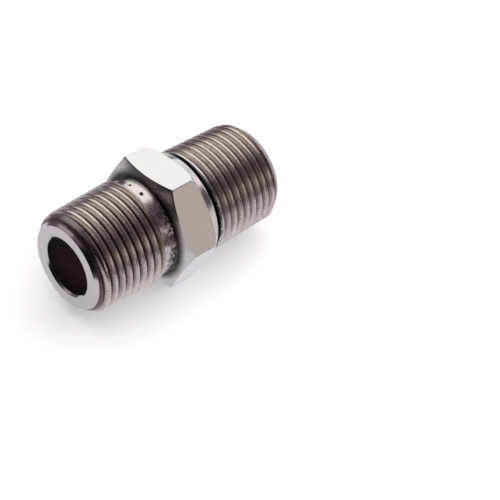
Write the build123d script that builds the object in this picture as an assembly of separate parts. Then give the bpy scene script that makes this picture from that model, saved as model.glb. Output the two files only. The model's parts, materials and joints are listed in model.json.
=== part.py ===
from build123d import *
import os
from math import atan, cos, degrees, radians, sin, tan

# Hex nipple with two R 3/8 male taper pipe threads, turned from 19 mm hexagon brass bar.
# X runs along the bore, from the front end to the rear end. Z is up and normal to the top
# wrench flat. The origin is on the bore axis, half way between the end faces. Millimetres.
# The nipple is one turned piece. Its three regions are a solid each, and they meet face to
# face at the two faces of the hexagon.

# Taper pipe thread, ISO 7-1 size R 3/8, right-hand on both ends
PITCH = 25.4 / 19
GAUGE_DIAMETER = 16.662          # crest diameter at the gauge plane
GAUGE_LENGTH = 6.4               # end face to gauge plane
TAPER = 1 / 16                   # on the diameter
THREAD_DEPTH = 0.640327 * PITCH  # Whitworth form
FLANK_ANGLE = 27.5               # half of the 55 degree thread angle
CREST_FLAT = PITCH / 6           # axial width of the crest, which stands for its rounding

# Threaded ends: axial sizes run from the end face towards the hexagon
FACE_DIAMETER = 13.6             # outer edge of the flat end face
LEAD_LENGTH = 1.7                # lead chamfer
FRONT_LENGTH = 14.85             # end face to hexagon
FRONT_FADE_START = 11.6          # the groove has its full depth up to here
FRONT_FADE_LENGTH = 1.3          # and comes up to the crests over this length
FRONT_THREAD_END = 12.25         # the crests stop here
FRONT_STEP_LENGTH = 0.35         # from the crests down to the neck
FRONT_NECK_DIAMETER = 15.9
FRONT_START_ANGLE = 240.0        # where the groove meets the end face, about X from Y
REAR_LENGTH = 14.2
REAR_FADE_START = 12.4
REAR_FADE_LENGTH = 0.5           # a steep run-out, which leaves a narrow collar at full height
REAR_THREAD_END = 13.3
REAR_STEP_LENGTH = 0.15
REAR_NECK_DIAMETER = 15.4
REAR_START_ANGLE = 205.0

# Hexagon
ACROSS_FLATS = 18.9              # 19 mm bar at the low end of its tolerance
HEX_WIDTH = 7.55
FRONT_RING_DIAMETER = 16.4       # flat ring left inside the chamfer on the front face
FRONT_HEX_CHAMFER = 25.0         # degrees from the face
SHOULDER_RADIUS = 1.45           # the rear corners are rounded down to a short conical collar
COLLAR_LENGTH = 1.55
COLLAR_DIAMETER = 19.0           # at the shoulder, just outside the flats
REAR_RING_DIAMETER = 17.6        # at the rear face

# Bore
BORE_DIAMETER = 9.5
MOUTH_CHAMFER = 0.3

TOTAL_LENGTH = FRONT_LENGTH + HEX_WIDTH + REAR_LENGTH
GROOVE_START = -PITCH            # the first turn of the groove lies in front of the end face
GROOVE_OVERCUT = 0.12            # how far the groove cutter stands out of the crests


def crest_radius(z):
    """Radius of the thread crests at a distance z from the end face."""
    return GAUGE_DIAMETER / 2 + (z - GAUGE_LENGTH) * TAPER / 2


def turned(points):
    """Solid of revolution about Z from (radius, height) points."""
    return revolve(Plane.XZ * make_face(Polyline(*points, close=True)), Axis.Z)


def end_blank(length, thread_end, step_length, neck_diameter):
    """Threaded end before its thread is cut: lead chamfer, taper, neck and its stretch of bore."""
    bore = BORE_DIAMETER / 2
    neck = neck_diameter / 2
    return turned([
        (bore + MOUTH_CHAMFER, 0),
        (FACE_DIAMETER / 2, 0),
        (crest_radius(LEAD_LENGTH), LEAD_LENGTH),
        (crest_radius(thread_end), thread_end),
        (neck, thread_end + step_length),
        (neck, length),
        (bore, length),
        (bore, MOUTH_CHAMFER),
    ])


def fade_cone(fade_start, fade_length, length):
    """Cone that rises from the thread root and on past the crests, up to the hexagon."""
    root = crest_radius(fade_start) - THREAD_DEPTH
    slope = THREAD_DEPTH / fade_length
    return turned([
        (0, fade_start),
        (root, fade_start),
        (root + slope * (length - fade_start), length),
        (0, length),
    ])


def groove_turn(z):
    """Cutter for the one turn of the groove that starts at height z: a V with a narrow flat root."""
    spread = tan(radians(FLANK_ANGLE))
    half_opening = (PITCH - CREST_FLAT) / 2
    half_root = half_opening - THREAD_DEPTH * spread
    half_top = half_opening + GROOVE_OVERCUT * spread
    crest = crest_radius(z)
    section = Plane.XZ * make_face(Polyline(
        (crest - THREAD_DEPTH, z - half_root),
        (crest + GROOVE_OVERCUT, z - half_top),
        (crest + GROOVE_OVERCUT, z + half_top),
        (crest - THREAD_DEPTH, z + half_root),
        close=True,
    ))
    path = Helix(PITCH, PITCH, crest, center=(0, 0, z), cone_angle=degrees(atan(TAPER / 2)))
    return sweep(section, path, is_frenet=True)


def threaded_end(blank, fade, fade_end):
    """One male end, its end face at Z = 0: the groove is cut turn by turn, then fades out."""
    end = blank
    z = GROOVE_START
    while z < fade_end:
        end -= groove_turn(z)
        z += PITCH
    return end + (blank & fade)


def front_end():
    """The front end, whose thread fades out slowly before a long neck."""
    blank = end_blank(FRONT_LENGTH, FRONT_THREAD_END, FRONT_STEP_LENGTH, FRONT_NECK_DIAMETER)
    fade = fade_cone(FRONT_FADE_START, FRONT_FADE_LENGTH, FRONT_LENGTH)
    return threaded_end(blank, fade, FRONT_FADE_START + FRONT_FADE_LENGTH)


def rear_end():
    """The rear end, whose thread stops at a narrow collar before a short relief groove."""
    blank = end_blank(REAR_LENGTH, REAR_THREAD_END, REAR_STEP_LENGTH, REAR_NECK_DIAMETER)
    fade = fade_cone(REAR_FADE_START, REAR_FADE_LENGTH, REAR_LENGTH)
    return threaded_end(blank, fade, REAR_FADE_START + REAR_FADE_LENGTH)


def hexagon():
    """Wrench hexagon, its front face at Z = 0: front chamfer, rear shoulder and collar, and its bore."""
    bore = BORE_DIAMETER / 2
    front_ring = FRONT_RING_DIAMETER / 2
    collar = COLLAR_DIAMETER / 2
    shoulder = HEX_WIDTH - COLLAR_LENGTH
    top = collar + SHOULDER_RADIUS   # just outside the corners
    outline = Polyline(
        (collar, shoulder),
        (REAR_RING_DIAMETER / 2, HEX_WIDTH),
        (bore, HEX_WIDTH),
        (bore, 0),
        (front_ring, 0),
        (top, (top - front_ring) * tan(radians(FRONT_HEX_CHAMFER))),
        (top, shoulder - SHOULDER_RADIUS),
    )
    rounding = CenterArc((collar, shoulder - SHOULDER_RADIUS), SHOULDER_RADIUS, 0, 90)
    blank = revolve(Plane.XZ * make_face(outline + rounding), Axis.Z)
    return blank & extrude(RegularPolygon(ACROSS_FLATS / 2, 6, major_radius=False), HEX_WIDTH)


def placed(solid, x, along_x, start_angle):
    """The solid with its Z = 0 face at x, its Z along +X or -X, and its X turned from the row's Y."""
    angle = radians(start_angle)
    seat = Plane(origin=(x, 0, 0), x_dir=(0, cos(angle), sin(angle)), z_dir=(along_x, 0, 0))
    return seat.location * solid


def save(name, solid):
    """Write one node as parts/NAME.step."""
    solid.label = name
    export_step(solid, f"parts/{name}.step")


os.makedirs("parts", exist_ok=True)
save("front_threaded_end", placed(front_end(), -TOTAL_LENGTH / 2, 1, FRONT_START_ANGLE))
save("hex_body", placed(hexagon(), FRONT_LENGTH - TOTAL_LENGTH / 2, 1, 0))
save("rear_threaded_end", placed(rear_end(), TOTAL_LENGTH / 2, -1, REAR_START_ANGLE))
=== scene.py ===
import json
from math import asin, cos, hypot, pi, radians, sin, tan
from typing import NamedTuple

import bmesh
import bpy
from mathutils import Matrix, Quaternion, Vector


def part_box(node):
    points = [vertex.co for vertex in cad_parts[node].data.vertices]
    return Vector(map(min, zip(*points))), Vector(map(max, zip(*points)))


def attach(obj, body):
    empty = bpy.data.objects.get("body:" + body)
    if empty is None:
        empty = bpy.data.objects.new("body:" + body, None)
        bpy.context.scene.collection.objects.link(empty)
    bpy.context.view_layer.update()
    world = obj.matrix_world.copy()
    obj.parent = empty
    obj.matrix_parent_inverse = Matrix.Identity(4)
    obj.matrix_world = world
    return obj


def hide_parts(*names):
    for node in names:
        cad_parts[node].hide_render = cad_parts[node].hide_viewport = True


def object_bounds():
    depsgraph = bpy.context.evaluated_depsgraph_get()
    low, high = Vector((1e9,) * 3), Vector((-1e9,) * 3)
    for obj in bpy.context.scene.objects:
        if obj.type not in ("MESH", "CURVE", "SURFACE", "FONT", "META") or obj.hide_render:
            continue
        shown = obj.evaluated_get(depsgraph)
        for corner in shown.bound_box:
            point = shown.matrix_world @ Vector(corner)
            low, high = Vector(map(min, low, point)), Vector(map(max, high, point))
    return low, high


# Nickel-plated hex nipple with two R 3/8 taper threads, lying on a wrench flat on a white table.
# Metres, in the row's frame: X along the bore, Z normal to the top wrench flat. The real nipple is
# one turned piece. Its three regions are a piece each here, and meet at the hexagon's two faces.

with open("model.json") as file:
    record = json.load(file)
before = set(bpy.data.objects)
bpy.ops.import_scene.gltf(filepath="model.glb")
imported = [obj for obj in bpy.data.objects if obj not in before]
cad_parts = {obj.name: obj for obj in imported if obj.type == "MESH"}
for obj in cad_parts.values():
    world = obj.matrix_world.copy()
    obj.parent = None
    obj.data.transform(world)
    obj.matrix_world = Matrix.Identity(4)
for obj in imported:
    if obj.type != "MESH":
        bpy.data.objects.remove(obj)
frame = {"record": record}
cad_low, cad_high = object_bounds()

MM = 0.001
MOUNTS = {mount["name"]: mount for mount in frame["record"]["mounts"]}
BORE_RADIUS = MOUNTS["through_bore"]["dims"]["r_mm"] * MM

# Taper pipe thread, ISO 7-1 size R 3/8
PITCH = 25.4 / 19 * MM
GAUGE_RADIUS = 16.662 / 2 * MM
GAUGE_LENGTH = 6.4 * MM             # end face to gauge plane
TAPER = 1 / 32                      # on the radius
THREAD_DEPTH = 0.640327 * PITCH     # Whitworth form
FLANK_ANGLE = radians(27.5)
CREST_FLAT = 0.3 * PITCH            # wider than in the CAD, like the bright bands on the real thread
CREST_ROUNDING = 0.04 * MM
ROOT_ROUNDING = 0.09 * MM

# Both threaded ends: axial sizes run from the end face towards the hexagon
FACE_RADIUS = 6.8 * MM
LEAD_LENGTH = 1.7 * MM
MOUTH_CHAMFER = 0.3 * MM
MOUTH_LENGTH = 1.2 * MM             # the finely meshed first stretch of the bore
THREAD_ROWS_START = 0.5 * MM        # mesh rows follow the helix from here on
NECK_FILLET = 0.12 * MM             # corners of the neck and of the rear collar
EDGE_ROUNDING = 0.07 * MM           # polished edges between turned faces
CREST_SOFTENING = 0.07 * MM         # where the lead chamfer, run-out and neck step cut the thread
NECK_GAP = 0.08 * MM                # from the step's foot, or the rear run-out, to the next circle

# Punch marks on the front neck: x from the hexagon, and the angle from the top towards -Y
PUNCH_MARKS = [(-0.4 * MM, radians(-34)), (-1.3 * MM, radians(-9)), (-1.4 * MM, radians(11))]
PUNCH_RADIUS = 0.28 * MM
PUNCH_DEPTH = 0.2 * MM


class End(NamedTuple):
    """What differs between the two threaded ends."""

    start_angle: float              # where the groove meets the end face, about X from Y
    fade_start: float               # the groove has its full depth up to here
    fade_length: float              # and comes up to the crests over this length
    thread_end: float               # the crests stop here
    step_length: float              # from the crests down to the neck
    neck_radius: float
    root_grime_and_shade: float               # how dark the thread roots are, with grime and painted shade, from 0 to 1
    punch_marks: list

    @property
    def foot(self):
        """Where the step down from the crests reaches the neck."""
        return self.thread_end + self.step_length

    @property
    def has_collar(self):
        """Whether the groove runs out before the crests stop, which leaves a collar between them."""
        return self.fade_start + self.fade_length + NECK_GAP < self.thread_end

    @property
    def circles_start(self):
        """Where mesh rows stop following the helix and are circles again."""
        return (self.fade_start + self.fade_length if self.has_collar else self.foot) + NECK_GAP


FRONT_END = End(
    start_angle=radians(240), fade_start=11.6 * MM, fade_length=1.3 * MM, thread_end=12.25 * MM,
    step_length=0.35 * MM, neck_radius=7.95 * MM, root_grime_and_shade=1.0, punch_marks=PUNCH_MARKS,
)
REAR_END = End(
    start_angle=radians(205), fade_start=12.4 * MM, fade_length=0.5 * MM, thread_end=13.3 * MM,
    step_length=0.15 * MM, neck_radius=7.7 * MM, root_grime_and_shade=0.6, punch_marks=[],
)

# Hexagon
FRONT_RING_RADIUS = 8.2 * MM
FRONT_HEX_CHAMFER = radians(25)
SHOULDER_RADIUS = 1.45 * MM         # the rear corners are rounded down to a short conical collar
COLLAR_LENGTH = 1.55 * MM
COLLAR_RADIUS = 9.5 * MM            # at the shoulder
REAR_RING_RADIUS = 8.8 * MM         # at the rear face
HEX_EDGE_ROUNDING = 0.09 * MM

# Mesh density
COLUMNS = 240                       # a multiple of 12, so that corners and middles of flats get one
ARC_STEPS = 4                       # on each rounded corner of a turned outline
THREAD_SPACING = 0.2 * MM           # between the rows on a thread's crests, flanks and roots
MOUTH_SPACING = 0.5 * MM
NECK_SPACING = 0.12 * MM
BORE_SPACING = 2 * MM
HELIX_MARGIN = 0.02 * MM            # thread rows keep this far from the circles at both ends
FRONT_RING_ROWS, FRONT_CHAMFER_ROWS, FLAT_ROWS = 4, 8, 10   # on the runs of the hexagon's outline
COLLAR_ROWS, REAR_FACE_ROWS, HEX_BORE_ROWS = 6, 4, 8
SHOULDER_STEPS = 8                  # round the arc of a rear corner
BEVEL_SEGMENTS = 3
BEVEL_ANGLE = radians(18)           # edges of the hexagon that turn by more than this are rounded
SHARP_ANGLE = radians(60)           # edges of an end that turn by more than this stay sharp
MERGE_DISTANCE = 0.001 * MM


# ---------------------------------------------------------------- turned outlines

def rounded(points, radius):
    """A polyline of (along, radius) points with an arc at each corner between its first and last."""
    out = [points[0]]
    for before, corner, after in zip(points, points[1:], points[2:]):
        a = Vector(before) - Vector(corner)
        b = Vector(after) - Vector(corner)
        half = a.angle(b) / 2
        reach = min(radius / tan(half), a.length / 2, b.length / 2)
        arc = reach * tan(half)
        centre = Vector(corner) + (a.normalized() + b.normalized()).normalized() * (arc / sin(half))
        start = Vector(corner) + a.normalized() * reach - centre
        end = Vector(corner) + b.normalized() * reach - centre
        for i in range(ARC_STEPS + 1):
            spoke = start.lerp(end, i / ARC_STEPS).normalized() * arc
            out.append(tuple(centre + spoke))
    out.append(points[-1])
    return out


def divided(points, spacing):
    """The same polyline with its long runs cut into pieces of about spacing."""
    out = [points[0]]
    for a, b in zip(points, points[1:]):
        count = max(1, round(hypot(b[0] - a[0], b[1] - a[1]) / spacing))
        for i in range(1, count + 1):
            out.append((a[0] + (b[0] - a[0]) * i / count, a[1] + (b[1] - a[1]) * i / count))
    return out


# ---------------------------------------------------------------- threaded ends

def crest_radius(z):
    """Radius of the thread crests at a distance z from the end face."""
    return GAUGE_RADIUS + (z - GAUGE_LENGTH) * TAPER


def lead_radius(z):
    """Radius of the lead chamfer at a distance z from the end face."""
    return FACE_RADIUS + (crest_radius(LEAD_LENGTH) - FACE_RADIUS) * z / LEAD_LENGTH


def thread_profile():
    """One pitch of the thread as (offset from the root's middle, depth below the crests) points."""
    half = PITCH / 2
    crest_edge = half - CREST_FLAT / 2
    root_edge = crest_edge - THREAD_DEPTH * tan(FLANK_ANGLE)
    crest = [(0, 0), (crest_edge - half, 0), (root_edge - half, -THREAD_DEPTH)]
    root = [(crest_edge, 0), (root_edge, -THREAD_DEPTH), (0, -THREAD_DEPTH)]
    side = [(half, 0)]
    side += [(half + x, -y) for x, y in rounded(crest, CREST_ROUNDING)[1:-1]]
    side += [(x, -y) for x, y in rounded(root, ROOT_ROUNDING)[1:-1]]
    side += [(0, THREAD_DEPTH)]
    side = divided(side, THREAD_SPACING)
    return [(-x, depth) for x, depth in side[1:]] + [(x, depth) for x, depth in side[-2::-1]]


PROFILE = thread_profile()


def soft_min(a, b, width):
    """The smaller of a and b, with the corner between them rounded over width."""
    return min(a, b) - max(width - abs(a - b), 0) ** 2 / (4 * width)


def soft_max(a, b, width):
    """The larger of a and b, with the corner between them rounded over width."""
    return -soft_min(-a, -b, width)


def thread_radius(z, depth, end):
    """Radius of the threaded surface at z, where the full thread lies depth below the crests."""
    groove = crest_radius(z) - depth
    if z > end.fade_start:
        rise = THREAD_DEPTH / end.fade_length
        floor = crest_radius(end.fade_start) - THREAD_DEPTH + (z - end.fade_start) * rise
        groove = soft_max(groove, floor, CREST_SOFTENING)
    top = crest_radius(end.thread_end)
    step = top - (z - end.thread_end) * (top - end.neck_radius) / end.step_length
    blank = soft_min(lead_radius(z), max(step, end.neck_radius), CREST_SOFTENING)
    return soft_min(groove, blank, CREST_SOFTENING)


def punch_depth(z, angle, length, end):
    """How deep the punch marks are at a place on the neck."""
    deepest = 0
    for x, from_top in end.punch_marks:
        angle_away = (angle + end.start_angle - from_top - pi / 2 + pi) % (2 * pi) - pi
        away = hypot(z - length - x, angle_away * end.neck_radius)
        deepest = max(deepest, PUNCH_DEPTH * (1 - (away / PUNCH_RADIUS) ** 2))
    return deepest


# A row's key is its stretch of the outline and its number there, and the keys rise along a column
MOUTH_ROWS, THREAD_ROWS, BACK_ROWS, NO_ROWS = range(4)


def end_column(turn, end, length, mouth, neck, bore):
    """One column of an end's mesh as (key, z, radius) rows round its closed outline.

    turn is the column's angle as a share of a full turn. A thread row keeps its key from column to
    column along the helix.
    """
    first, last = mouth[-1][0], neck[0][0]
    rows = [((MOUTH_ROWS, i), z, r) for i, (z, r) in enumerate(mouth)]
    number = -len(PROFILE)          # the thread rows start one pitch before the end face
    while True:
        coil, place = divmod(number, len(PROFILE))
        offset, depth = PROFILE[place]
        z = PITCH * (coil + turn) + offset
        if z > last - HELIX_MARGIN:
            break
        if z > first + HELIX_MARGIN:
            rows.append(((THREAD_ROWS, number), z, thread_radius(z, depth, end)))
        number += 1
    punched = [(z, r - punch_depth(z, turn * 2 * pi, length, end)) for z, r in neck]
    return rows + [((BACK_ROWS, i), z, r) for i, (z, r) in enumerate(punched + bore)]


def stitch(faces, left, right):
    """Adds the faces between two columns of (key, vertex) rows.

    Where both columns go on with the same row that is a quad. Where one has a row that the other
    doesn't have, it is a triangle.
    """
    a = b = 0
    past_end = (NO_ROWS, 0)
    while a < len(left) - 1 or b < len(right) - 1:
        next_a = left[a + 1][0] if a < len(left) - 1 else past_end
        next_b = right[b + 1][0] if b < len(right) - 1 else past_end
        if next_a == next_b:
            faces.append((left[a][1], right[b][1], right[b + 1][1], left[a + 1][1]))
            a += 1
            b += 1
        elif next_a < next_b:
            faces.append((left[a][1], right[b][1], left[a + 1][1]))
            a += 1
        else:
            faces.append((left[a][1], right[b][1], right[b + 1][1]))
            b += 1


def end_outlines(length, end):
    """The stretches of an end's outline whose rows are circles: its mouth, its neck and its bore."""
    mouth = rounded([
        (MOUTH_LENGTH, BORE_RADIUS),
        (MOUTH_CHAMFER, BORE_RADIUS),
        (0, BORE_RADIUS + MOUTH_CHAMFER),
        (0, FACE_RADIUS),
        (THREAD_ROWS_START, lead_radius(THREAD_ROWS_START)),
    ], EDGE_ROUNDING)
    start = end.circles_start
    if end.has_collar:
        neck = [
            (start, crest_radius(start)),
            (end.thread_end, crest_radius(end.thread_end)),
            (end.foot, end.neck_radius),
        ]
    else:
        neck = [(start, end.neck_radius)]
    up_the_hexagon = (length, end.neck_radius + 2 * NECK_FILLET)
    neck = rounded(neck + [(length, end.neck_radius), up_the_hexagon], NECK_FILLET)[:-1]
    bore = divided([(length, BORE_RADIUS), (MOUTH_LENGTH, BORE_RADIUS)], BORE_SPACING)[:-1]
    return divided(mouth, MOUTH_SPACING), divided(neck, NECK_SPACING), bore


def threaded_end(name, length, end):
    """A threaded end in its own frame, end face at Z = 0, as one closed mesh."""
    mouth, neck, bore = end_outlines(length, end)
    vertices, columns, faces = [], [], []
    for i in range(COLUMNS):
        angle = 2 * pi * i / COLUMNS
        rows = end_column(i / COLUMNS, end, length, mouth, neck, bore)
        columns.append([(key, len(vertices) + n) for n, (key, z, r) in enumerate(rows)])
        vertices += [(r * cos(angle), r * sin(angle), z) for key, z, r in rows]
    once_round = [
        ((THREAD_ROWS, number - len(PROFILE)) if stretch == THREAD_ROWS else (stretch, number), vertex)
        for (stretch, number), vertex in columns[0]
    ]
    for left, right in zip(columns, columns[1:] + [once_round]):
        stitch(faces, left, right)
        faces.append((left[-1][1], right[-1][1], right[0][1], left[0][1]))
    mesh = bpy.data.meshes.new(name)
    mesh.from_pydata(vertices, [], faces)
    return mesh


def seated(mesh, x, along_x, start_angle):
    """Moves an end's mesh to x, its Z along +X or -X and its X turned by start_angle from the row's Y."""
    x_axis = Vector((0, cos(start_angle), sin(start_angle)))
    z_axis = Vector((along_x, 0, 0))
    y_axis = z_axis.cross(x_axis)
    seat = Matrix((x_axis, y_axis, z_axis)).transposed().to_4x4()
    seat.translation = (x, 0, 0)
    mesh.transform(seat)


# Where the parts of an end that look different begin
CORNER_WIDTH = 0.06 * MM            # the front end has painted shade, and is dull, this near to the hexagon
COLLAR_EDGE = 0.03 * MM             # the relief groove has painted shade, and is dull, from this far past the rear crests
PUNCHED_BELOW = 0.04 * MM           # a face counts as punched this far below the neck


def part_of_end(z, radius, length, end):
    """The part of an end that a face belongs to, with its middle at z from the end face."""
    neck_start = end.circles_start if end.has_collar else end.foot
    corner_start = end.thread_end + COLLAR_EDGE if end.has_collar else length - CORNER_WIDTH
    if z > MOUTH_CHAMFER and radius < BORE_RADIUS + EDGE_ROUNDING / 2:
        return "bore"
    # the corner part has painted shade: the front end's corner, the rear relief groove and the punch marks
    if z > corner_start:
        return "corner"
    if z > neck_start:
        return "corner" if radius < end.neck_radius - PUNCHED_BELOW else "neck"
    return "turned" if z < THREAD_ROWS_START else "thread"


# ---------------------------------------------------------------- hexagon

def hexagon_outline(angle, low, high):
    """The hexagon's closed outline at an angle from Y.

    Each (part, rows, x, radius) is a corner of the outline, with the part of the surface that starts
    there and the number of mesh rows up to the next corner.
    """
    from_flat = (angle + pi / 6 - pi / 2) % (pi / 3) - pi / 6
    edge = high.z / cos(from_flat)      # radius of the hexagon bar's surface
    front = low.x + max(edge - FRONT_RING_RADIUS, 0) * tan(FRONT_HEX_CHAMFER)
    shoulder_x = high.x - COLLAR_LENGTH
    # Where the bar's surface meets the cone of the collar, which stands out of the middle of a flat
    on_collar = shoulder_x + COLLAR_LENGTH * (COLLAR_RADIUS - edge) / (COLLAR_RADIUS - REAR_RING_RADIUS)
    rise = max(edge - COLLAR_RADIUS, 0)
    sweep = asin(min(rise / SHOULDER_RADIUS, 1))
    outline = [
        # the front ring and chamfer take the corner material, with its painted shade
        ("corner", FRONT_RING_ROWS, low.x, BORE_RADIUS),
        ("corner", FRONT_CHAMFER_ROWS, low.x, FRONT_RING_RADIUS),
        ("flat", FLAT_ROWS, front, edge),
    ]
    for i in range(SHOULDER_STEPS):
        swept = sweep * (1 - i / SHOULDER_STEPS)
        if edge > COLLAR_RADIUS:
            x = shoulder_x - SHOULDER_RADIUS * (1 - cos(swept))
            outline.append(("turned", 1, x, COLLAR_RADIUS + SHOULDER_RADIUS * sin(swept)))
        else:
            outline.append(("turned", 1, on_collar, edge))
    outline += [
        ("turned", COLLAR_ROWS, max(shoulder_x, on_collar), min(edge, COLLAR_RADIUS)),
        ("turned", REAR_FACE_ROWS, high.x, REAR_RING_RADIUS),
        ("bore", HEX_BORE_ROWS, high.x, BORE_RADIUS),
    ]
    return outline


def hexagon(name, low, high):
    """The wrench hexagon between two planes, as one closed mesh, and the part each face belongs to."""
    vertices, faces, parts = [], [], []
    for i in range(COLUMNS):
        angle = 2 * pi * i / COLUMNS
        outline = hexagon_outline(angle, low, high)
        for (part, rows, x0, r0), (_, _, x1, r1) in zip(outline, outline[1:] + outline[:1]):
            for k in range(rows):
                x = x0 + (x1 - x0) * k / rows
                r = r0 + (r1 - r0) * k / rows
                vertices.append((x, r * cos(angle), r * sin(angle)))
                parts.append(part)
    per_column = len(vertices) // COLUMNS
    for i in range(COLUMNS):
        here = i * per_column
        there = (i + 1) % COLUMNS * per_column
        for k in range(per_column):
            after = (k + 1) % per_column
            faces.append((here + k, there + k, there + after, here + after))
    mesh = bpy.data.meshes.new(name)
    mesh.from_pydata(vertices, [], faces)
    return mesh, parts


# ---------------------------------------------------------------- pieces

def piece(mesh, node, materials, parts):
    """Makes a mesh the visible piece for a CAD node, with outward normals and smooth shading.

    materials are by the name of a part, and parts has the name of the part of each face.
    """
    shape = bmesh.new()
    shape.from_mesh(mesh)
    bmesh.ops.recalc_face_normals(shape, faces=shape.faces)
    shape.to_mesh(mesh)
    shape.free()
    mesh.shade_smooth()
    for material in materials.values():
        mesh.materials.append(material)
    order = list(materials)
    for face, part in zip(mesh.polygons, parts):
        face.material_index = order.index(part)
    made = bpy.data.objects.new(mesh.name, mesh)
    bpy.context.scene.collection.objects.link(made)
    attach(made, "root")
    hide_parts(node)
    return made


# ---------------------------------------------------------------- materials

# The plating, the grime and the painted shade on it, and the table, as linear colours
THREAD_PLATE = (0.70, 0.638, 0.575)
# grime in the thread roots, together with painted shade in these hollows
THREAD_ROOT_GRIME_AND_SHADE = (0.115, 0.083, 0.096)
TURNED_PLATE = (0.72, 0.69, 0.66)
# painted shade on the neck's lower side and beside the hexagon
NECK_PAINTED_SHADE = (0.07, 0.06, 0.058)
# painted shade in the corner between the hexagon and a neck, in the rear relief groove and in the punch
# marks
CORNER_PAINTED_SHADE = (0.035, 0.031, 0.03)
DRAWN_PLATE = (0.722, 0.724, 0.70)
BORE_WALL = (0.46, 0.37, 0.38)
BORE_WALL_BRIGHT = (0.58, 0.475, 0.48)
# painted shade near both mouths of the bore
BORE_MOUTH_SHADE = (0.12, 0.09, 0.10)
TABLE_WHITE = (0.86, 0.86, 0.86)
TABLE_WHITE_BRIGHT = (0.88, 0.88, 0.88)
TABLE_GLOW_COLOUR = (1.0, 0.99, 1.0)
TABLE_GLOW = 0.28
TABLE_ROUGHNESS = 0.6
TABLE_SPECULAR = 0.2

# Where the grime and the painted shade lie: each runs from full to none, or back, between its two sizes
ROOT_GRIME_AND_SHADE_DEPTHS = (0.42, 0.8)                   # as shares of the thread's depth
NECK_SHADE_HEIGHTS = (6.0 * MM, 7.4 * MM)          # above the bore axis
NECK_SHADE_REACH = (0.4 * MM, 2.2 * MM)            # from the hexagon
CORNER_SHADE_RADII = (8.45 * MM, 9.4 * MM)
BORE_MOUTH_SHADE_REACH = (0.6 * MM, 4.0 * MM)            # from either end face

THREAD_ROUGHNESS = (0.2, 0.33)
TURNED_ROUGHNESS = (0.12, 0.24)
DRAWN_ROUGHNESS = (0.13, 0.2)
BORE_ROUGHNESS = (0.45, 0.6)
ROOT_GRIME_ROUGHNESS = 0.15              # added where the grime and painted shade in a thread's roots is full
PAINTED_SHADE_ROUGHNESS = 0.2                # added where painted shade on turned plate is full
TOOL_WANDER = 0.5 * MM              # how far the die's streaks wander along the thread
DRAWN_LINE_SCALES = (60.0, 3500.0, 3500.0)        # long along the bar, fine across it
MIX_A, MIX_B, MIX_RESULT = 6, 7, 2                # the colour sockets of a Mix node


class Place(NamedTuple):
    """Sockets with the point in the row's frame, and its distance from the bore axis."""

    vector: bpy.types.NodeSocket
    x: bpy.types.NodeSocket
    z: bpy.types.NodeSocket
    radius: bpy.types.NodeSocket


class Shader:
    """A material whose nodes are added by short calls."""

    def __init__(self, name):
        self.material = bpy.data.materials.new(name)
        self.material.use_nodes = True
        self.nodes = self.material.node_tree.nodes
        self.links = self.material.node_tree.links
        self.surface = self.nodes["Principled BSDF"]

    def add(self, kind, settings=None, **inputs):
        """Adds a node. An input is called by its name, as From_Min, or by its number, as i0."""
        made = self.nodes.new(kind)
        for key, value in (settings or {}).items():
            setattr(made, key, value)
        for key, value in inputs.items():
            socket = int(key[1:]) if key[1:].isdigit() else key.replace("_", " ")
            self.feed(made.inputs[socket], value)
        return made

    def feed(self, socket, value):
        """Links an output to a socket, or sets the socket to a constant."""
        if isinstance(value, bpy.types.NodeSocket):
            self.links.new(value, socket)
        else:
            socket.default_value = value

    def math(self, operation, a, b=0.0, c=0.0, clamp=False):
        """The result of a Math node."""
        settings = {"operation": operation, "use_clamp": clamp}
        return self.add("ShaderNodeMath", settings, i0=a, i1=b, i2=c).outputs[0]

    def vector(self):
        """The point in the row's frame."""
        return self.add("ShaderNodeTexCoord").outputs["Object"]

    def place(self):
        """The point in the row's frame, taken apart."""
        vector = self.vector()
        x, y, z = self.add("ShaderNodeSeparateXYZ", Vector=vector).outputs
        square = self.math("MULTIPLY_ADD", y, y, self.math("MULTIPLY", z, z))
        return Place(vector, x, z, self.math("SQRT", square))

    def noise(self, vector, scale, detail, roughness=0.5):
        """Noise from 0 to 1 over a vector, with scale features in a metre."""
        return self.add("ShaderNodeTexNoise", Vector=vector, Scale=scale, Detail=detail,
                        Roughness=roughness).outputs[0]

    def ramp(self, value, from_range, to_range):
        """The value, mapped from one range to another and held at its ends."""
        return self.add("ShaderNodeMapRange", Value=value, From_Min=from_range[0], From_Max=from_range[1],
                        To_Min=to_range[0], To_Max=to_range[1]).outputs[0]

    def blend(self, share, a, b):
        """A colour between a and b."""
        made = self.add("ShaderNodeMix", {"data_type": "RGBA"}, Factor=share)
        self.feed(made.inputs[MIX_A], a)
        self.feed(made.inputs[MIX_B], b)
        return made.outputs[MIX_RESULT]

    def bump(self, height, distance, below=None):
        """A normal from a height between 0 and 1 that stands for distance metres."""
        made = self.add("ShaderNodeBump", Height=height, Distance=distance)
        if below is not None:
            self.feed(made.inputs["Normal"], below)
        return made.outputs[0]

    def scaled(self, vector, scales):
        """The vector, stretched along each axis."""
        return self.add("ShaderNodeVectorMath", {"operation": "MULTIPLY"}, i0=vector, i1=scales).outputs[0]

    def turned_vector(self, x, radius):
        """A vector that varies along a turned surface's outline but not round it: for tool marks."""
        return self.add("ShaderNodeCombineXYZ", X=x, Y=radius).outputs[0]

    def finish_metal(self, colour, roughness, normal):
        """Feeds a metal surface and returns the material."""
        self.surface.inputs["Metallic"].default_value = 1.0
        self.feed(self.surface.inputs["Base Color"], colour)
        self.feed(self.surface.inputs["Roughness"], roughness)
        self.feed(self.surface.inputs["Normal"], normal)
        return self.material


def rgba(colour, factor=1.0):
    """A colour made brighter or darker by a factor, with alpha."""
    return (colour[0] * factor, colour[1] * factor, colour[2] * factor, 1.0)


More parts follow.
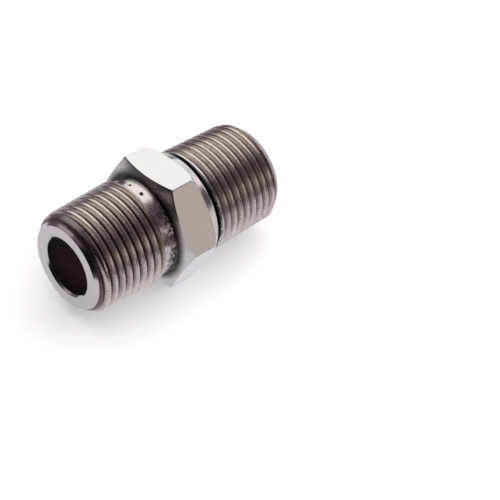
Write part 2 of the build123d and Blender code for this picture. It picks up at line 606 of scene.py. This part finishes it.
def thread_material(name, end_x, along_x, root_grime_and_shade):
    """Plated thread: satin crests with specks and streaks from the die, duller roots that grime and
    painted shade make darker and browner.
    """
    s = Shader(name)
    at = s.place()
    z = s.math("MULTIPLY", s.math("SUBTRACT", at.x, end_x), along_x)
    crest = s.math("MULTIPLY_ADD", z, TAPER, GAUGE_RADIUS - GAUGE_LENGTH * TAPER)
    depth = s.math("DIVIDE", s.math("SUBTRACT", crest, at.radius), THREAD_DEPTH, clamp=True)
    patches = s.noise(at.vector, scale=900.0, detail=4.0, roughness=0.6)
    grains = s.noise(at.vector, scale=5000.0, detail=3.0, roughness=0.6)
    wander = s.math("MULTIPLY", s.noise(at.vector, scale=350.0, detail=2.0), TOOL_WANDER)
    along = s.turned_vector(s.math("ADD", at.x, wander), at.radius)
    fine = s.noise(along, scale=12000.0, detail=3.0, roughness=0.6)
    coarse = s.noise(along, scale=3500.0, detail=3.0, roughness=0.6)
    # the roots darken with their depth: grime and painted shade
    in_root = s.ramp(depth, ROOT_GRIME_AND_SHADE_DEPTHS, (0.0, root_grime_and_shade))
    grime_and_shade = s.math("MULTIPLY", in_root, s.ramp(patches, (0.3, 0.7), (0.8, 1.0)))
    streaks = s.ramp(coarse, (0.3, 0.7), (0.0, 1.0))
    specks = s.ramp(s.noise(at.vector, scale=3000.0, detail=2.0), (0.5, 0.68), (0.0, 0.5))
    plate = s.blend(streaks, rgba(THREAD_PLATE, 0.78), rgba(THREAD_PLATE, 1.1))
    plate = s.blend(specks, plate, rgba(THREAD_PLATE, 0.42))
    colour = s.blend(grime_and_shade, plate, rgba(THREAD_ROOT_GRIME_AND_SHADE))
    satin = s.ramp(grains, (0.3, 0.7), THREAD_ROUGHNESS)
    roughness = s.math("ADD", satin, s.math("MULTIPLY", grime_and_shade, ROOT_GRIME_ROUGHNESS))
    normal = s.bump(fine, distance=0.005 * MM)
    normal = s.bump(coarse, distance=0.013 * MM, below=normal)
    normal = s.bump(patches, distance=0.013 * MM, below=normal)
    return s.finish_metal(colour, roughness, normal)


def finish_turned(s, at, patches, ring_scale, shades, painted_shade=None, painted_shade_colour=None):
    """Finishes a plated turned surface: rings from the tool, a little uneven, with or without painted
    shade.

    shades are the plate's darkest and brightest factors. The painted shade argument is how much painted
    shade there is, from 0 to 1.
    """
    rings = s.noise(s.turned_vector(at.x, at.radius), scale=ring_scale, detail=4.0, roughness=0.6)
    colour = s.blend(patches, rgba(TURNED_PLATE, shades[0]), rgba(TURNED_PLATE, shades[1]))
    roughness = s.ramp(rings, (0.25, 0.75), TURNED_ROUGHNESS)
    if painted_shade is not None:
        colour = s.blend(painted_shade, colour, rgba(painted_shade_colour))
        roughness = s.math("ADD", roughness, s.math("MULTIPLY", painted_shade, PAINTED_SHADE_ROUGHNESS))
    normal = s.bump(rings, distance=0.003 * MM)
    normal = s.bump(patches, distance=0.008 * MM, below=normal)
    return s.finish_metal(colour, roughness, normal)


def turned_material(name):
    """Plated turned face."""
    s = Shader(name)
    at = s.place()
    patches = s.noise(at.vector, scale=700.0, detail=4.0, roughness=0.6)
    return finish_turned(s, at, patches, ring_scale=11000.0, shades=(0.94, 1.06))


def neck_material(name, hexagon_x):
    """Turned neck: bright on top, with patches of painted shade lower down, denser beside the hexagon."""
    s = Shader(name)
    at = s.place()
    patches = s.noise(at.vector, scale=700.0, detail=4.0, roughness=0.6)
    # painted shade, in patches, darker lower down and beside the hexagon
    shade_patches = s.ramp(s.noise(at.vector, scale=1600.0, detail=3.0, roughness=0.6), (0.42, 0.56), (0.1, 1.0))
    lower_down = s.ramp(at.z, NECK_SHADE_HEIGHTS, (1.0, 0.0))
    away = s.math("ABSOLUTE", s.math("SUBTRACT", at.x, hexagon_x))
    beside = s.ramp(away, NECK_SHADE_REACH, (1.0, 0.45))
    painted_shade = s.math("MULTIPLY", s.math("MULTIPLY", lower_down, beside), shade_patches)
    return finish_turned(s, at, patches, ring_scale=11000.0, shades=(0.88, 1.0),
                         painted_shade=painted_shade, painted_shade_colour=NECK_PAINTED_SHADE)


def corner_material(name):
    """A darker copy of the turned plate, with painted shade and duller plating towards the corner between
    the hexagon and a neck.

    It is for the front side of the hexagon. The end's own corner and the punch marks lie so near to the
    axis that the painted shade covers them all over.
    """
    s = Shader(name)
    at = s.place()
    patches = s.noise(at.vector, scale=800.0, detail=4.0, roughness=0.6)
    # painted shade, in patches, grows towards the axis
    inward = s.ramp(at.radius, CORNER_SHADE_RADII, (1.0, 0.0))
    corner_shade = s.math("MULTIPLY", inward, s.ramp(patches, (0.3, 0.6), (0.85, 1.0)))
    # shades below the turned plate's: a darker copy of it, painted shade
    return finish_turned(s, at, patches, ring_scale=9000.0, shades=(0.74, 0.88),
                         painted_shade=corner_shade, painted_shade_colour=CORNER_PAINTED_SHADE)


def drawn_material(name):
    """Plated wrench flat: bright bar stock with faint lines along the bar."""
    s = Shader(name)
    vector = s.vector()
    patches = s.noise(vector, scale=260.0, detail=3.0)
    lines = s.noise(s.scaled(vector, DRAWN_LINE_SCALES), scale=1.0, detail=4.0, roughness=0.6)
    specks = s.noise(vector, scale=5000.0, detail=2.0)
    colour = s.blend(patches, rgba(DRAWN_PLATE, 0.97), rgba(DRAWN_PLATE, 1.03))
    dull_specks = s.ramp(specks, (0.6, 0.8), (0.0, 0.08))
    roughness = s.math("ADD", s.ramp(lines, (0.3, 0.7), DRAWN_ROUGHNESS), dull_specks)
    normal = s.bump(lines, distance=0.0012 * MM)
    normal = s.bump(patches, distance=0.02 * MM, below=normal)
    return s.finish_metal(colour, roughness, normal)


def bore_material(name):
    """Inside of the bore: thin, dull plating over drilled brass, with painted shade near both mouths."""
    s = Shader(name)
    at = s.place()
    patches = s.noise(at.vector, scale=500.0, detail=4.0, roughness=0.6)
    rings = s.noise(s.turned_vector(at.x, at.radius), scale=7000.0, detail=3.0, roughness=0.6)
    wall = s.blend(patches, rgba(BORE_WALL), rgba(BORE_WALL_BRIGHT))
    # painted shade near both mouths
    from_end = s.math("SUBTRACT", cad_high.x, s.math("ABSOLUTE", at.x))
    colour = s.blend(s.ramp(from_end, BORE_MOUTH_SHADE_REACH, (1.0, 0.0)), wall, rgba(BORE_MOUTH_SHADE))
    roughness = s.ramp(rings, (0.25, 0.75), BORE_ROUGHNESS)
    return s.finish_metal(colour, roughness, s.bump(rings, distance=0.008 * MM))


def table_material():
    """White matt table, a little self-lit so that it comes out nearly white."""
    s = Shader("table_white")
    shade = s.noise(s.vector(), scale=40.0, detail=2.0)
    s.feed(s.surface.inputs["Base Color"], s.blend(shade, rgba(TABLE_WHITE), rgba(TABLE_WHITE_BRIGHT)))
    s.surface.inputs["Roughness"].default_value = TABLE_ROUGHNESS
    s.surface.inputs["Specular IOR Level"].default_value = TABLE_SPECULAR
    s.surface.inputs["Emission Color"].default_value = rgba(TABLE_GLOW_COLOUR)
    s.surface.inputs["Emission Strength"].default_value = TABLE_GLOW
    return s.material


def plain_material(name, **inputs):
    """A material for a card in the studio, with constant inputs, called by name, as Base_Color."""
    made = bpy.data.materials.new(name)
    made.use_nodes = True
    surface = made.node_tree.nodes["Principled BSDF"]
    for key, value in inputs.items():
        surface.inputs[key.replace("_", " ")].default_value = value
    return made


# ---------------------------------------------------------------- the nipple

front_low, front_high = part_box("front_threaded_end")
hex_low, hex_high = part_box("hex_body")
rear_low, rear_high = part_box("rear_threaded_end")

turned = turned_material("plated_turned")
bore = bore_material("bore_wall")


def build_end(name, node, low, high, along_x, end):
    """One threaded end as a finished piece."""
    end_x, hexagon_x = (low.x, high.x) if along_x > 0 else (high.x, low.x)
    length = high.x - low.x
    mesh = threaded_end(name, length, end)
    seated(mesh, end_x, along_x, end.start_angle)
    materials = {
        "thread": thread_material(f"plated_thread_{name}", end_x, along_x, end.root_grime_and_shade),
        "turned": turned,
        "bore": bore,
        "corner": corner_material(f"painted_shade_corner_{name}"),
        "neck": neck_material(f"neck_{name}", hexagon_x),
    }
    middles = [face.center for face in mesh.polygons]
    parts = [part_of_end((at.x - end_x) * along_x, hypot(at.y, at.z), length, end) for at in middles]
    piece(mesh, node, materials, parts)
    mesh.set_sharp_from_angle(angle=SHARP_ANGLE)


def build_hexagon():
    """The hexagon as a finished piece."""
    mesh, parts = hexagon("hexagon", hex_low, hex_high)
    materials = {
        "flat": drawn_material("plated_drawn"),
        "turned": turned,
        "bore": bore,
        "corner": corner_material("plated_corner_painted_shade"),
    }
    made = piece(mesh, "hex_body", materials, parts)
    shape = bmesh.new()
    shape.from_mesh(mesh)
    bmesh.ops.remove_doubles(shape, verts=shape.verts, dist=MERGE_DISTANCE)
    shape.to_mesh(mesh)
    shape.free()
    bevel = made.modifiers.new("edge_rounding", "BEVEL")
    bevel.width = HEX_EDGE_ROUNDING
    bevel.segments = BEVEL_SEGMENTS
    bevel.limit_method = "ANGLE"
    bevel.angle_limit = BEVEL_ANGLE
    bevel.harden_normals = False
    weighted = made.modifiers.new("flat_normals", "WEIGHTED_NORMAL")
    weighted.keep_sharp = True


build_end("front_thread", "front_threaded_end", front_low, front_high, 1, FRONT_END)
build_end("rear_thread", "rear_threaded_end", rear_low, rear_high, -1, REAR_END)
build_hexagon()


# ---------------------------------------------------------------- table, light and camera

TABLE_HALF_WIDTH = 1.5
ROOM_COLOUR = (0.115, 0.083, 0.110, 1)
BACKDROP_COLOUR = (0.93, 0.93, 0.93, 1)
BLACK = (0.003, 0.003, 0.003, 1)

# Two dim cards just above the table, which only the metal's reflections see
BOUNCE_COLOUR = (0.28, 0.275, 0.295, 1)
BOUNCE_GLOW_COLOUR = (1.0, 0.967, 1.07, 1)
BOUNCE_ROUGHNESS = 0.9

CAMERA_LENS = 152.55                # focal length and sensor width in millimetres, as Blender has them
CAMERA_SENSOR_WIDTH = 36
CAMERA_CLIP = (0.01, 10)
CAMERA_AZIMUTH = radians(-43.63)
CAMERA_ELEVATION = radians(40.24)
CAMERA_ROLL = radians(1.78)
CAMERA_AIM = Vector((7.971, -11.828, -3.618)) * MM
CAMERA_DISTANCE = 323.27 * MM


class Panel(NamedTuple):
    """A rectangle in the studio that faces the nipple."""

    name: str
    heading: float                  # degrees from +X towards +Y
    elevation: float                # degrees
    distance: float
    width: float
    height: float
    radiance: float = 0.0
    colour: tuple = (1.0, 1.0, 1.0)


OVERHEAD = Panel("overhead", -35, 66, distance=0.6, width=2.2, height=2.2, radiance=1.25)
REFLECTED_SOFTBOXES = [
    Panel("back_softbox", 43, 43, distance=0.7, width=1.4, height=0.68, radiance=1.12,
          colour=(1.0, 0.99, 0.97)),
    Panel("low_right_card", -80, 10, distance=0.6, width=0.8, height=0.23, radiance=0.48,
          colour=(1.0, 0.91, 0.765)),
    Panel("left_back_card", 132, 38, distance=0.6, width=0.4, height=0.4, radiance=0.27),
    Panel("rear_card", 18, 4, distance=0.6, width=0.45, height=0.2, radiance=0.9),
]
BLACK_CARD = Panel("black_card", 200, 6, distance=0.4, width=0.72, height=0.5)


def seen_by(made, camera=True, diffuse=True, glossy=True, shadow=True):
    """Chooses which rays see an object or a light."""
    made.visible_camera = camera
    made.visible_diffuse = diffuse
    made.visible_glossy = glossy
    made.visible_transmission = glossy
    made.visible_shadow = shadow


def only_reflected(made):
    """Lets nothing but reflections see an object or a light."""
    seen_by(made, camera=False, diffuse=False, shadow=False)


def face_nipple(made, panel):
    """Puts an object at a panel's place, where its own Z points away from the nipple."""
    heading, elevation = radians(panel.heading), radians(panel.elevation)
    outward = Vector((cos(elevation) * cos(heading), cos(elevation) * sin(heading), sin(elevation)))
    made.location = outward * panel.distance
    made.rotation_mode = "QUATERNION"
    made.rotation_quaternion = outward.to_track_quat("Z", "Y")


def rectangle(name, low, high, z, material):
    """A staged flat rectangle at height z, between two corners in X and Y."""
    mesh = bpy.data.meshes.new(name)
    corners = [(low[0], low[1], z), (high[0], low[1], z), (high[0], high[1], z), (low[0], high[1], z)]
    mesh.from_pydata(corners, [], [(0, 1, 2, 3)])
    mesh.materials.append(material)
    made = bpy.data.objects.new(name, mesh)
    bpy.context.scene.collection.objects.link(made)
    return made


def build_table():
    """A wide white table that the bottom wrench flat rests on."""
    half = TABLE_HALF_WIDTH
    table = rectangle("table", (-half, -half), (half, half), cad_low.z, table_material())
    seen_by(table, glossy=False)


def bounce_card(name, low, high, lift, glow):
    """A dim card, lift above the table, that stands for the table in the metal's reflections."""
    material = plain_material(name, Base_Color=BOUNCE_COLOUR, Roughness=BOUNCE_ROUGHNESS,
                              Emission_Color=BOUNCE_GLOW_COLOUR, Emission_Strength=glow)
    only_reflected(rectangle(name, low, high, cad_low.z + lift, material))


def softbox(panel):
    """A panel as a light."""
    light = bpy.data.lights.new(panel.name, "AREA")
    light.shape = "RECTANGLE"
    light.size = panel.width
    light.size_y = panel.height
    light.energy = panel.radiance * pi * panel.width * panel.height
    light.color = panel.colour
    made = bpy.data.objects.new(panel.name, light)
    face_nipple(made, panel)
    bpy.context.scene.collection.objects.link(made)
    return made


def black_card(panel):
    """A panel as a black card that the metal reflects, which gives its edges their dark lines."""
    material = plain_material(panel.name, Base_Color=BLACK, Specular_IOR_Level=0.0)
    x, y = panel.width / 2, panel.height / 2
    made = rectangle(panel.name, (-x, -y), (x, y), 0, material)
    face_nipple(made, panel)
    only_reflected(made)


def build_lights():
    """The overhead light, which reflections don't see, and what only they see."""
    seen_by(softbox(OVERHEAD), camera=False, glossy=False)
    for panel in REFLECTED_SOFTBOXES:
        only_reflected(softbox(panel))
    black_card(BLACK_CARD)


def build_world():
    """A dim room around the table, with a pale backdrop for the camera."""
    world = bpy.data.worlds.new("room")
    world.use_nodes = True
    nodes, links = world.node_tree.nodes, world.node_tree.links
    background = nodes["Background"]
    background.inputs["Color"].default_value = ROOM_COLOUR
    backdrop = nodes.new("ShaderNodeBackground")
    backdrop.inputs["Color"].default_value = BACKDROP_COLOUR
    path = nodes.new("ShaderNodeLightPath")
    choice = nodes.new("ShaderNodeMixShader")
    links.new(path.outputs["Is Camera Ray"], choice.inputs[0])
    links.new(background.outputs[0], choice.inputs[1])
    links.new(backdrop.outputs[0], choice.inputs[2])
    links.new(choice.outputs[0], nodes["World Output"].inputs["Surface"])
    bpy.context.scene.world = world


def build_camera():
    """The camera, with a slight roll."""
    data = bpy.data.cameras.new("camera")
    data.lens = CAMERA_LENS
    data.sensor_width = CAMERA_SENSOR_WIDTH
    data.clip_start, data.clip_end = CAMERA_CLIP
    made = bpy.data.objects.new("camera", data)
    back = Vector((
        sin(CAMERA_AZIMUTH) * cos(CAMERA_ELEVATION),
        -cos(CAMERA_AZIMUTH) * cos(CAMERA_ELEVATION),
        sin(CAMERA_ELEVATION),
    ))
    made.location = CAMERA_AIM + back * CAMERA_DISTANCE
    made.rotation_mode = "QUATERNION"
    made.rotation_quaternion = back.to_track_quat("Z", "Y") @ Quaternion((0, 0, 1), CAMERA_ROLL)
    bpy.context.scene.collection.objects.link(made)
    bpy.context.scene.camera = made


build_table()
bounce_card("bounce_card", (-75 * MM, -35 * MM), (120 * MM, 85 * MM), lift=0.05 * MM, glow=0.43)
bounce_card("under_card", (-17 * MM, -12 * MM), (14 * MM, 9 * MM), lift=0.1 * MM, glow=0.64)
build_world()
build_camera()
build_lights()
bpy.context.scene.view_settings.view_transform = "Standard"
